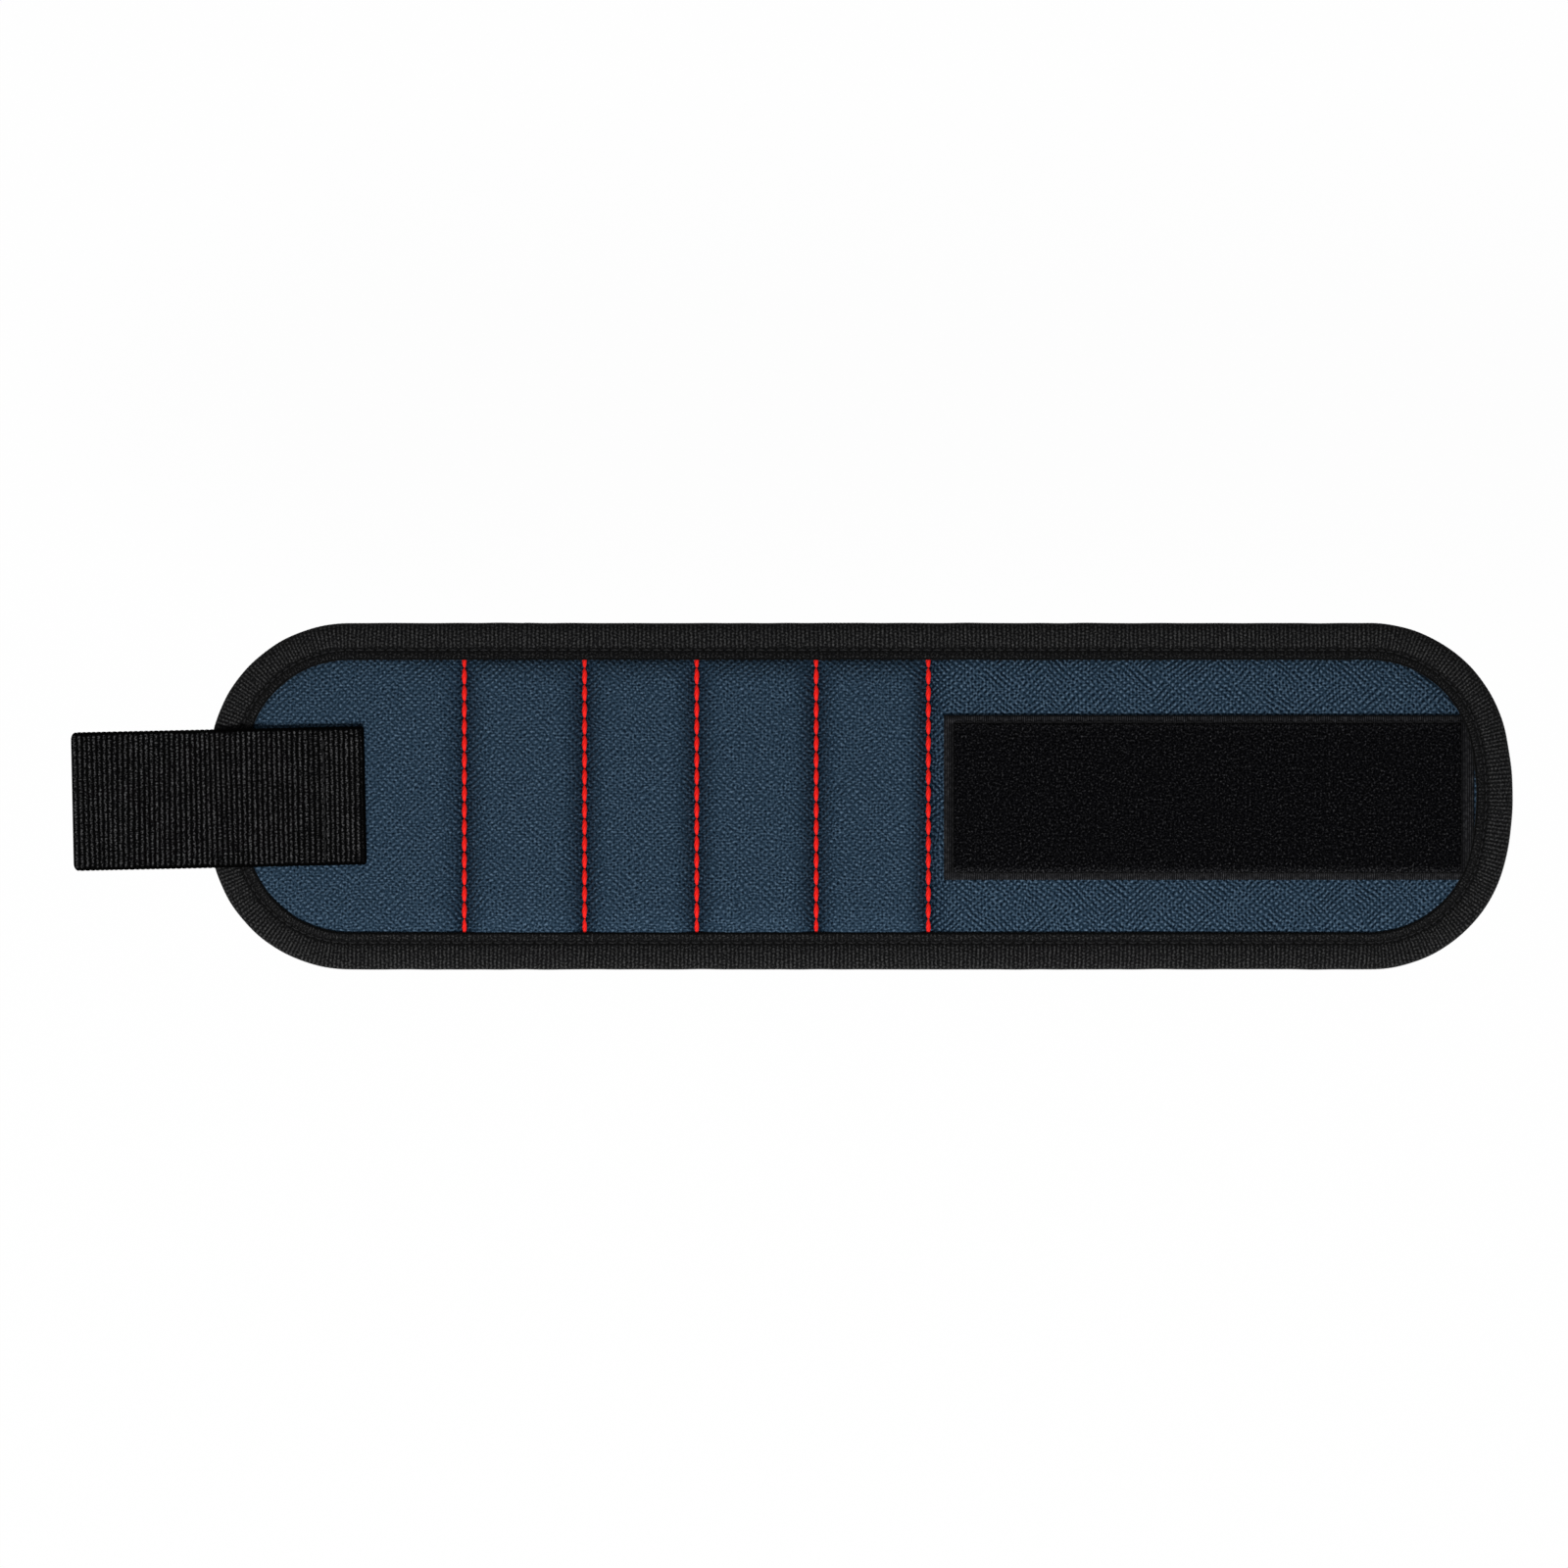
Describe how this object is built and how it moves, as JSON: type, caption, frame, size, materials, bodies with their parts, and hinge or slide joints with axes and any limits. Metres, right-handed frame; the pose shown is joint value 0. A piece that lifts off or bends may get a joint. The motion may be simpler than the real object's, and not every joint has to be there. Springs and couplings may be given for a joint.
{
  "type": "magnetic wristband",
  "caption": "Padded cloth wristband with magnets sewn into quilted channels, a folded edge binding, and a hook strap that fastens on a loop patch.",
  "frame": {"origin": "on the table, under the middle of the outline of the band and its strap", "axes": "+X along the band from the strap to the loop tail, +Y across it, +Z out of the face"},
  "size_m": [0.3742, 0.09, 0.0069],
  "materials": {
    "face_cloth": "dark slate blue plain-weave polyester, matt",
    "mesh_lining": "black padded spacer mesh, matt",
    "binding_tape": "black ribbed polyester tape, slight sheen",
    "strap_webbing": "black ribbed webbing, slight sheen",
    "loop_pile": "black napped loop tape, very matt",
    "hook_tape": "black nylon hook tape",
    "red_thread": "bright red bold polyester thread, satin",
    "pad_foam": "grey closed-cell foam, matt",
    "magnet_plating": "bright nickel plating"
  },
  "bodies": {
    "left_end": {"face_left_end": "face_cloth", "lining_left_end": "mesh_lining", "binding_left_end": "binding_tape", "strap_sewn_end": "strap_webbing"},
    "channel_1": {"face_channel_1": "face_cloth", "lining_channel_1": "mesh_lining", "binding_upper_channel_1": "binding_tape", "binding_lower_channel_1": "binding_tape", "magnet_pad_1": "pad_foam", "magnet_1_1": "magnet_plating", "magnet_1_2": "magnet_plating", "magnet_1_3": "magnet_plating", "stitch_row_1": "red_thread"},
    "channel_2": {"face_channel_2": "face_cloth", "lining_channel_2": "mesh_lining", "binding_upper_channel_2": "binding_tape", "binding_lower_channel_2": "binding_tape", "magnet_pad_2": "pad_foam", "magnet_2_1": "magnet_plating", "magnet_2_2": "magnet_plating", "magnet_2_3": "magnet_plating", "stitch_row_2": "red_thread"},
    "channel_3": {"face_channel_3": "face_cloth", "lining_channel_3": "mesh_lining", "binding_upper_channel_3": "binding_tape", "binding_lower_channel_3": "binding_tape", "magnet_pad_3": "pad_foam", "magnet_3_1": "magnet_plating", "magnet_3_2": "magnet_plating", "magnet_3_3": "magnet_plating", "stitch_row_3": "red_thread", "stitch_row_4": "red_thread"},
    "channel_4": {"face_channel_4": "face_cloth", "lining_channel_4": "mesh_lining", "binding_upper_channel_4": "binding_tape", "binding_lower_channel_4": "binding_tape", "magnet_pad_4": "pad_foam", "magnet_4_1": "magnet_plating", "magnet_4_2": "magnet_plating", "magnet_4_3": "magnet_plating", "stitch_row_5": "red_thread"},
    "tail_1": {"face_tail_1": "face_cloth", "lining_tail_1": "mesh_lining", "binding_upper_tail_1": "binding_tape", "binding_lower_tail_1": "binding_tape", "loop_patch_1": "loop_pile"},
    "tail_2": {"face_tail_2": "face_cloth", "lining_tail_2": "mesh_lining", "binding_upper_tail_2": "binding_tape", "binding_lower_tail_2": "binding_tape", "loop_patch_2": "loop_pile"},
    "tail_3": {"face_tail_3": "face_cloth", "lining_tail_3": "mesh_lining", "binding_tail_3": "binding_tape", "loop_patch_3": "loop_pile"},
    "strap": {"strap_tab": "strap_webbing", "hook_patch": "hook_tape"}
  },
  "joints": [
    {"name": "wrap", "type": "hinge", "parent": "channel_3", "child": "channel_4", "pos_m": [0.0062, 0, 0.0016], "axis": [0, 1, 0], "range_deg": [-5, 30]},
    {"name": "seam_3_bend", "type": "hinge", "parent": "channel_3", "child": "channel_2", "pos_m": [-0.0248, 0, 0.0016], "axis": [0, -1, 0], "range_deg": [-5.1, 30.1]},
    {"name": "seam_2_bend", "type": "hinge", "parent": "channel_2", "child": "channel_1", "pos_m": [-0.0539, 0, 0.0016], "axis": [0, -1, 0], "range_deg": [-5.3, 31.3]},
    {"name": "seam_1_bend", "type": "hinge", "parent": "channel_1", "child": "left_end", "pos_m": [-0.0851, 0, 0.0016], "axis": [0, -1, 0], "range_deg": [-9, 53.2]},
    {"name": "seam_5_bend", "type": "hinge", "parent": "channel_4", "child": "tail_1", "pos_m": [0.0353, 0, 0.0016], "axis": [0, 1, 0], "range_deg": [-7, 41.5]},
    {"name": "tail_1_bend", "type": "hinge", "parent": "tail_1", "child": "tail_2", "pos_m": [0.0859, 0, 0.0016], "axis": [0, 1, 0], "range_deg": [-9.4, 55.9]},
    {"name": "tail_2_bend", "type": "hinge", "parent": "tail_2", "child": "tail_3", "pos_m": [0.1365, 0, 0.0016], "axis": [0, 1, 0], "range_deg": [-9.8, 58.3]},
    {"name": "strap_peel", "type": "hinge", "parent": "left_end", "child": "strap", "pos_m": [-0.1533, -0.0007, 0.0059], "axis": [0.0216, -0.9998, 0], "range_deg": [-120, 60]}
  ],
  "couplings": [
    {"joint": "seam_3_bend", "follows": "wrap", "ratio": 1},
    {"joint": "seam_2_bend", "follows": "wrap", "ratio": 1.04},
    {"joint": "seam_1_bend", "follows": "wrap", "ratio": 1.77},
    {"joint": "seam_5_bend", "follows": "wrap", "ratio": 1.38},
    {"joint": "tail_1_bend", "follows": "wrap", "ratio": 1.86},
    {"joint": "tail_2_bend", "follows": "wrap", "ratio": 1.94}
  ]
}
